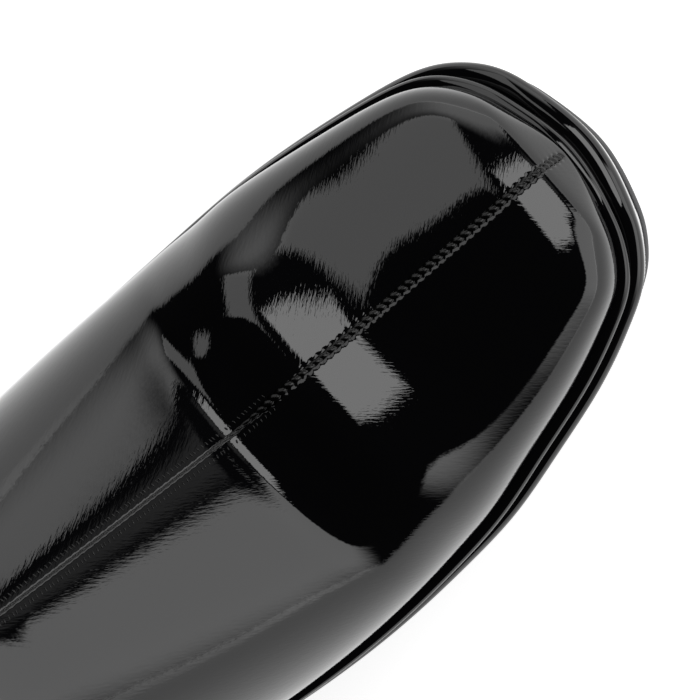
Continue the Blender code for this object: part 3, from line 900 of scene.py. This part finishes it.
def top_piece_low(y):
    """The floor."""
    return np.zeros(len(y))


walls = [(0.0, share, 0.0) for share in np.linspace(0.1, 0.9, 9)]
heel = sole_layer("block_heel", heel_places,
                  shoulder(*HEEL_SHOULDER, 5) + walls + foot(*HEEL_FOOT),
                  heel_overhang, platform_top, heel_low, sole_leather,
                  narrowing=(0.0, HEEL_NARROWING), ends=(HEEL_BREAST + GAP, None))
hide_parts("heel")
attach(heel, "root")
top_piece = sole_layer("rubber_top_piece", heel_places,
                       shoulder(*TOP_PIECE_SHOULDER, 3) + [(0.0, 0.5, 0.0)] + foot(*TOP_PIECE_FOOT),
                       heel_overhang, top_piece_top, top_piece_low, rubber,
                       narrowing=(HEEL_NARROWING, HEEL_NARROWING), ends=(HEEL_BREAST + GAP, None))
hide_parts("heel_top_piece")
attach(top_piece, "root")

# Insole and lining
# A padded sock over the insole board, and a knitted lining on the inside of the wall from the
# turned-in top edge down to the sock.
INSOLE_THICKNESS = 0.003
SOCK_SHOULDER = (0.0014, 0.0010)
SOCK_FOOT = (0.0002, 0.0003)
LINING_ROWS = 260
LINING_COLUMNS = 70
LINING_FIRST = 0.02
LINING_BELOW_COLLAR = 0.05
insole_places = edge_places(0.0, HEEL_BACK)


def insole_overhang(side, share):
    """The sock fits inside the wall."""
    return np.full(len(insole_places), -WALL - GAP)


def insole_low(y):
    """Underside of the insole board."""
    return bed_height(y) + GAP


def insole_top(y):
    """The foot's side of the sock."""
    return insole_low(y) + INSOLE_THICKNESS


LINING_BLACK = "#1c1b1d"
WALE_WIDTH = 0.0009
WALE_DEPTH = 0.00015


def knitted_lining(name):
    """Black brushed knit: dull, with fine loops and a soft sheen at the edges."""
    material, tree, output = new_material(name)
    place = add_node(tree, "ShaderNodeTexCoord", {}).outputs["Object"]
    wales = add_node(tree, "ShaderNodeTexVoronoi", {
        "Vector": place, "Scale": 1.0 / WALE_WIDTH}, feature="F1")
    bump = add_node(tree, "ShaderNodeBump", {
        "Height": wales.outputs["Distance"], "Strength": 1.0, "Distance": WALE_DEPTH})
    shader = add_node(tree, "ShaderNodeBsdfPrincipled", {
        "Base Color": linear(LINING_BLACK), "Roughness": 0.9, "Specular IOR Level": 0.2,
        "Sheen Weight": 0.4, "Sheen Roughness": 0.5, "Normal": bump.outputs["Normal"]})
    tree.links.new(shader.outputs["BSDF"], output.inputs["Surface"])
    return material


lining_cloth = knitted_lining("black_knitted_lining")
insole = sole_layer("sock_and_insole", insole_places,
                    shoulder(*SOCK_SHOULDER, 5) + foot(*SOCK_FOOT, 3),
                    insole_overhang, insole_top, insole_low, lining_cloth,
                    full_height=INSOLE_THICKNESS)
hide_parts("insole")
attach(insole, "root")


def inside_wall(name, place, offset, columns, material):
    """The wall's inner face over both sides: the last's surface moved in by offset on its rows."""
    down = 0.5 - 0.5 * np.cos(np.pi * np.linspace(0.0, 1.0, columns))
    sheets = []
    for side in (1.0, -1.0):
        grid = last_surface(place, down[None, :], side)
        normals = grid_normals(grid) * side
        normals[:, 0, 0] = 0.0
        normals[:, -1, 0] *= place < HEEL_BACK
        normals /= np.maximum(np.linalg.norm(normals, axis=-1), 1e-9)[..., None]
        sheets.append(grid - normals * offset[:, None, None])
    wall = np.concatenate([sheets[0][:, ::-1], sheets[1][:, 1:]], axis=1)
    faces = grid_faces(*wall.shape[:2], flip=True)
    return add_mesh(name, wall.reshape(-1, 3), faces.tolist(), [material], UPPER_SHARP)


lining_places = np.linspace(LINING_FIRST, COLLAR - LINING_BELOW_COLLAR, LINING_ROWS)
lining = inside_wall("knitted_lining", lining_places, np.full(LINING_ROWS, WALL), LINING_COLUMNS,
                     lining_cloth)
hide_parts("upper")
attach(lining, "root")

# Turned-in top edge
# The upper's leather turned over the collar and stitched down inside.
TOP_ROWS = 24
TOP_SHARE = 0.12
TOP_DEPTH = 0.004
TURNED_THICKNESS = 0.0004
TURN_LENGTH = 0.001
COLLAR_ROUND = 0.5 * WALL
top_places = COLLAR - TOP_SHARE * (1.0 - np.linspace(0.0, 1.0, TOP_ROWS)) ** 2
below_top = (COLLAR - top_places) / TOP_SHARE * TOP_DEPTH
rounded = 1.0 - np.clip(below_top / COLLAR_ROUND, 0.0, 1.0)
top_offset = (COLLAR_ROUND * (1.0 + np.sqrt(1.0 - rounded ** 2))
              + TURNED_THICKNESS * smoothstep(below_top / TURN_LENGTH))
top_edge = inside_wall("turned_top_edge", top_places, top_offset, LINING_COLUMNS, upper_leather)
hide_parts("upper")
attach(top_edge, "root")

# Floor
# A white table that runs out of sight.
TABLE_WHITE = "#f2f2f2"
TABLE_GLOW = 0.78
FLOOR_HALF = 3.0
floor_material, tree, output = new_material("matt_white_table")
shader = add_node(tree, "ShaderNodeBsdfPrincipled", {
    "Base Color": linear(TABLE_WHITE), "Roughness": 0.9, "Specular IOR Level": 0.0,
    "Emission Color": (1.0, 1.0, 1.0, 1.0), "Emission Strength": TABLE_GLOW})
tree.links.new(shader.outputs["BSDF"], output.inputs["Surface"])
corners = [(x, y, cad_box[0].z) for x, y in ((-1, -1), (1, -1), (1, 1), (-1, 1))]
mesh = bpy.data.meshes.new("floor")
mesh.from_pydata([(x * FLOOR_HALF, y * FLOOR_HALF, z) for x, y, z in corners], [], [(0, 1, 2, 3)])
mesh.materials.append(floor_material)
floor = bpy.data.objects.new("floor", mesh)
bpy.context.scene.collection.objects.link(floor)

# Studio
# Soft boxes over and beside the table, in a room that is dark to the boot. Behind the table
# hangs a pale backdrop that the boot doesn't mirror.
ROOM_LIGHT = 0.02
BACKDROP_LIGHT = 0.85
world = bpy.data.worlds.new("studio")
world.use_nodes = True
background = world.node_tree.nodes["Background"]
background.inputs["Color"].default_value = (1.0, 1.0, 1.0, 1.0)
seen = add_node(world.node_tree, "ShaderNodeLightPath", {}).outputs["Is Camera Ray"]
backdrop = add_node(world.node_tree, "ShaderNodeMapRange", {
    "Value": seen, "To Min": ROOM_LIGHT, "To Max": BACKDROP_LIGHT})
world.node_tree.links.new(backdrop.outputs["Result"], background.inputs["Strength"])
bpy.context.scene.world = world
VAMP_MIDDLE = np.array((0.0, 0.045, 0.060))
BOX_DISTANCE = 1.0


def soft_box(name, azimuth, zenith, width, height, brightness, fades):
    """A rectangular lamp a metre from the vamp, at angles in degrees from +X and straight up.

    fades are the shares of its width and height over which it darkens towards the edges at the
    smaller and larger azimuth, the bottom and the top.
    """
    turn = np.radians(azimuth)
    tilt = np.radians(zenith)
    away = Vector((np.cos(turn) * np.sin(tilt), np.sin(turn) * np.sin(tilt), np.cos(tilt)))
    facing = away.to_track_quat("Z", "Y").to_matrix()
    middle = Vector(ORIGIN + VAMP_MIDDLE) + away * BOX_DISTANCE
    data = bpy.data.lights.new(name, "AREA")
    data.shape = "RECTANGLE"
    data.size = width
    data.size_y = height
    data.energy = brightness * np.pi * width * height
    data.use_nodes = True
    tree = data.node_tree
    place = add_node(tree, "ShaderNodeNewGeometry", {}).outputs["Position"]
    off = add_node(tree, "ShaderNodeVectorMath", {0: place, 1: middle}, operation="SUBTRACT")
    strength = None
    for column, size, pair in ((0, width, fades[:2]), (1, height, fades[2:])):
        along = add_node(tree, "ShaderNodeVectorMath", {0: off.outputs[0], 1: facing.col[column]},
                         operation="DOT_PRODUCT").outputs["Value"]
        for end, fade in zip((-0.5, 0.5), pair):
            soft = add_node(tree, "ShaderNodeMapRange", {
                "Value": along, "From Min": end * size, "From Max": end * size * (1.0 - 2.0 * fade),
                "To Min": 0.0, "To Max": 1.0}, interpolation_type="SMOOTHSTEP").outputs["Result"]
            if strength is not None:
                soft = add_node(tree, "ShaderNodeMath", {0: strength, 1: soft},
                                operation="MULTIPLY").outputs[0]
            strength = soft
    tree.links.new(strength, tree.nodes["Emission"].inputs["Strength"])
    lamp = bpy.data.objects.new(name, data)
    lamp.matrix_world = Matrix.Translation(middle) @ facing.to_4x4()
    lamp.visible_camera = False
    bpy.context.scene.collection.objects.link(lamp)


soft_box("medial_box", -29.0, 42.0, 0.62, 0.82, 1.55, (0.03, 0.03, 0.03, 0.03))
soft_box("medial_low_box", -34.5, 77.0, 1.37, 0.69, 1.80, (0.02, 0.65, 0.01, 0.50))
soft_box("front_box", -94.0, 51.0, 0.54, 0.54, 4.0, (0.03, 0.03, 0.03, 0.03))
soft_box("front_low_box", -86.0, 73.0, 0.34, 0.26, 0.32, (0.30, 0.30, 0.30, 0.30))
soft_box("lateral_box", -138.0, 80.5, 1.68, 0.56, 2.35, (0.40, 0.08, 0.01, 0.10))

# Camera
# It looks steeply down on the toe, rolled so that the toe points to the frame's upper right.
CAMERA_FROM_TOE = np.array((-0.0469, -0.1158, 0.5234))
CAMERA_FORWARD = Vector((0.0905, 0.338, -0.9368)).normalized()
CAMERA_RIGHT = Vector((-0.651, -0.6918, -0.3125)).normalized()
CAMERA_LENS = 132.43
CAMERA_SENSOR = 36.0
camera_data = bpy.data.cameras.new("camera")
camera_data.lens = CAMERA_LENS
camera_data.sensor_width = CAMERA_SENSOR
camera = bpy.data.objects.new("camera", camera_data)
back = -CAMERA_FORWARD
up = back.cross(CAMERA_RIGHT)
turn = Matrix((CAMERA_RIGHT, up, back)).transposed().to_4x4()
camera.matrix_world = Matrix.Translation(Vector(CAMERA_FROM_TOE + ORIGIN)) @ turn
bpy.context.scene.collection.objects.link(camera)
bpy.context.scene.camera = camera

bpy.context.scene.view_settings.view_transform = "Standard"
